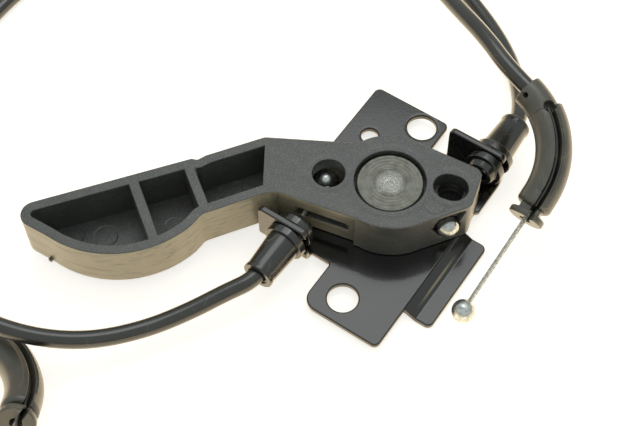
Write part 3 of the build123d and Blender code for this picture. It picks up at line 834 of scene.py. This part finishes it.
# Sheathed cables: one smooth line each, drawn by its route's points. Places and diameters are in
# millimetres, and lengths in metres.
sheathSize = {"diameter": 5.2, "roundness": 8, "steps": 10}
frontCable = {
    "length": 0.47,
    "exit": (-15.5, -42.7, 8.8),
    "points": [
        (-15.5, -38.1, 8.8), (-15.6, -44.2, 8.8), (-20.0, -51.4, 7.9), (-25.6, -61.9, 6.6),
        (-32.6, -73.2, 6.2), (-41.7, -84.9, 8.4), (-52.4, -93.3, 11.8), (-64.9, -98.3, 14.6),
        (-79.4, -99.4, 15.6), (-95.9, -95.8, 13.2), (-113.2, -86.0, 8.2), (-130.0, -68.0, 3.0),
        (-141.8, -45.0, 0.9), (-148.4, -17.0, 0.7), (-148.6, 12.0, 0.7), (-141.5, 39.5, 0.7),
        (-127.0, 62.5, 0.8), (-102.0, 81.0, 1.4), (-73.0, 89.6, 6.0), (-49.0, 84.6, 13.0),
        (-31.0, 72.0, 20.2), (-14.5, 61.6, 25.6), (1.0, 53.4, 28.8), (12.5, 46.9, 28.7),
        (26.0, 43.5, 26.4),
    ],
}
rearCable = {
    "length": 1.25,
    "exit": (19.0, 44.3, 8.8),
    "start": [
        (19.0, 39.7, 8.8), (19.0, 45.6, 8.8), (16.4, 52.0, 7.2), (12.4, 58.8, 5.0),
        (7.4, 65.6, 3.2), (-0.6, 73.4, 1.8), (-11.6, 81.0, 1.0), (-26.0, 88.4, 0.8),
        (-44.0, 95.4, 0.8), (-68.0, 103.2, 0.9), (-98.0, 103.6, 0.7), (-128.0, 94.0, 0.9),
        (-154.0, 75.0, 0.7), (-174.5, 48.0, 0.9), (-189.0, 17.0, 0.7), (-198.0, -16.0, 0.9),
        (-201.4, -50.0, 0.7), (-200.6, -78.0, 0.7),
    ],
    "end": [
        (-137.0, -124.9, 4.2), (-118.5, -117.3, 3.0), (-100.0, -109.2, 2.6),
        (-82.8, -101.1, 5.4), (-68.2, -98.0, 3.0),
    ],
}
# The stored turns, in two layers: each stage is an angle in degrees, a radius and a height
coilTurns = {
    "centre": (-166.0, -99.0),
    "stepDegrees": 24.0,
    "stages": [
        (180, 33.7, 0.6), (470, 33.7, 0.6), (520, 28.5, 0.6), (800, 28.5, 0.6),
        (850, 23.3, 0.6), (1130, 23.3, 0.6), (1200, 25.9, 5.25), (1460, 25.9, 5.25),
        (1520, 31.2, 5.25), (1680, 31.4, 5.6), (1722, 33.8, 5.9),
    ],
}


def coilPoints():
    made = []
    stages = coilTurns["stages"]
    angle = stages[0][0]
    while angle <= stages[-1][0]:
        before = max((s for s in stages if s[0] <= angle), key=lambda s: s[0])
        after = min((s for s in stages if s[0] >= angle), key=lambda s: s[0])
        gap = after[0] - before[0]
        share = (angle - before[0]) / gap if gap else 0.0
        radius = before[1] + (after[1] - before[1]) * share
        height = before[2] + (after[2] - before[2]) * share
        # a control point stands a little outside the turn that it shapes
        reach = radius / math.cos(math.radians(coilTurns["stepDegrees"] / 2)) ** 0.5
        turn = math.radians(angle)
        made.append((
            coilTurns["centre"][0] + reach * math.cos(turn),
            coilTurns["centre"][1] + reach * math.sin(turn),
            height,
        ))
        angle += coilTurns["stepDegrees"]
    return made


def layCable(name, points, material):
    curve = bpy.data.curves.new(name, "CURVE")
    curve.dimensions = "3D"
    spline = curve.splines.new("NURBS")
    spline.points.add(len(points) - 1)
    for control, place in zip(spline.points, points):
        control.co = (place[0] * mm, place[1] * mm, place[2] * mm, 1)
    spline.order_u = 3
    spline.use_endpoint_u = True
    spline.resolution_u = sheathSize["steps"]
    curve.bevel_depth = sheathSize["diameter"] * mm / 2
    curve.bevel_resolution = sheathSize["roundness"]
    curve.use_fill_caps = True
    curve.materials.append(material)
    cable = bpy.data.objects.new(name, curve)
    bpy.context.scene.collection.objects.link(cable)
    return cable


vinyl = finishes["sheath_black"]
frontSheath = layCable("frontSheath", frontCable["points"], vinyl)
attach(frontSheath, "bracket")
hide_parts("front_cable_sheath")
rearPoints = rearCable["start"] + coilPoints() + rearCable["end"]
rearSheath = layCable("rearSheath", rearPoints, vinyl)
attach(rearSheath, "bracket")
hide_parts("rear_cable_sheath", "rear_cable_coil", "rear_cable_return")
print("cables laid")


# Table: warm white paper, which the camera sees as white and all gloss as a lit, warm white. Its
# height is in millimetres and its side in metres.
table = {
    "height": -2.0,
    "side": 4.0,
    "paper": "#f6eddb",
    "glow": 0.68,
    "sheen": 1.0,
    "sheenTone": "#ffe6c0",
}


def makeTable():
    mesh = bpy.data.meshes.new("tableTop")
    half = table["side"] / 2
    level = table["height"] * mm
    corners = [(-half, -half, level), (half, -half, level), (half, half, level), (-half, half, level)]
    mesh.from_pydata(corners, [], [(0, 1, 2, 3)])
    made, tree = startMaterial("whitePaper")
    rays = addNode(tree, "ShaderNodeLightPath")
    direct = addNode(
        tree, "ShaderNodeMath", {"operation": "MULTIPLY", 1: table["glow"]},
        {0: rays.outputs["Is Camera Ray"]},
    )
    mirrored = addNode(
        tree, "ShaderNodeMath", {"operation": "MAXIMUM"},
        {0: rays.outputs["Is Glossy Ray"], 1: rays.outputs["Is Transmission Ray"]},
    )
    mirrored = addNode(
        tree, "ShaderNodeMath", {"operation": "MULTIPLY", 1: table["sheen"]}, {0: mirrored}
    )
    paper = addNode(tree, "ShaderNodeBsdfDiffuse", {"Color": linearColour(table["paper"])})
    glow = addNode(tree, "ShaderNodeEmission", {"Color": (1, 1, 1, 1)}, {"Strength": direct})
    shine = addNode(
        tree, "ShaderNodeEmission", {"Color": linearColour(table["sheenTone"])},
        {"Strength": mirrored},
    )
    both = addNode(tree, "ShaderNodeAddShader", links={0: paper, 1: glow})
    both = addNode(tree, "ShaderNodeAddShader", links={0: both, 1: shine})
    addNode(tree, "ShaderNodeOutputMaterial", links={"Surface": both})
    top = newPiece("tableTop", mesh, made)


# Air: an even white tent, dimmer and warmer towards the horizon
air = {"low": "#fff2dd", "high": "#eef6f3", "lowLevel": 0.4, "highLevel": 0.62, "rise": 0.5}


def makeWorld():
    world = bpy.data.worlds.new("tent")
    bpy.context.scene.world = world
    world.use_nodes = True
    tree = world.node_tree
    tree.nodes.clear()
    way = addNode(tree, "ShaderNodeTexCoord").outputs["Generated"]
    rise = addNode(tree, "ShaderNodeSeparateXYZ", links={0: way}).outputs["Z"]
    share = addNode(
        tree, "ShaderNodeMapRange",
        {"interpolation_type": "SMOOTHSTEP", "From Min": 0, "From Max": air["rise"],
         "To Min": 0, "To Max": 1},
        {"Value": rise},
    )
    level = addNode(
        tree, "ShaderNodeMapRange",
        {"From Min": 0, "From Max": 1, "To Min": air["lowLevel"], "To Max": air["highLevel"]},
        {"Value": share},
    )
    colour = addNode(
        tree, "ShaderNodeMix",
        {"data_type": "RGBA", 6: linearColour(air["low"]), 7: linearColour(air["high"])},
        {0: share},
    ).outputs[2]
    back = addNode(tree, "ShaderNodeBackground", links={"Color": colour, "Strength": level})
    addNode(tree, "ShaderNodeOutputWorld", links={"Surface": back})


# Lamps: a broad soft box overhead, behind the object, and a small one for highlights. Places are in
# millimetres, sizes in metres and powers in watts.
lamps = {
    "softBox": {"place": (-170, 240, 750), "size": 0.5, "power": 0.85, "aim": (0, 0, 0)},
    "spark": {"place": (40, 330, 700), "size": 0.12, "power": 0.12, "aim": (0, 0, 0)},
}


def makeLamps():
    for name, lamp in lamps.items():
        light = bpy.data.lights.new(name, "AREA")
        light.shape = "DISK"
        light.size = lamp["size"]
        light.energy = lamp["power"]
        made = bpy.data.objects.new(name, light)
        bpy.context.scene.collection.objects.link(made)
        made.location = Vector(lamp["place"]) * mm
        aim = Vector(lamp["aim"]) * mm - made.location
        made.rotation_mode = "QUATERNION"
        made.rotation_quaternion = aim.to_track_quat("-Z", "Y")


# Camera: where the photograph was taken from, fitted to the bracket's holes and edges
camera = {
    "place": (101.75, -181.111, 333.454),
    "look": (-15.038, -11.816, 2.0),
    "roll": -0.386,
    "lens": 73.508,
    "sensor": 36.0,
    "clip": (0.01, 10.0),
}


def makeCamera():
    data = bpy.data.cameras.new("photoCamera")
    data.lens = camera["lens"]
    data.sensor_width = camera["sensor"]
    data.clip_start, data.clip_end = camera["clip"]
    made = bpy.data.objects.new("photoCamera", data)
    bpy.context.scene.collection.objects.link(made)
    made.location = Vector(camera["place"]) * mm
    aim = (Vector(camera["look"]) - Vector(camera["place"])) * mm
    level = aim.to_track_quat("-Z", "Y").to_matrix()
    roll = Matrix.Rotation(math.radians(camera["roll"]), 3, "Z")
    made.rotation_mode = "QUATERNION"
    made.rotation_quaternion = (level @ roll).to_quaternion()
    bpy.context.scene.camera = made


makeTable()
makeWorld()
makeLamps()
makeCamera()
bpy.context.scene.view_settings.view_transform = "Standard"
print("table, lamps and camera placed")
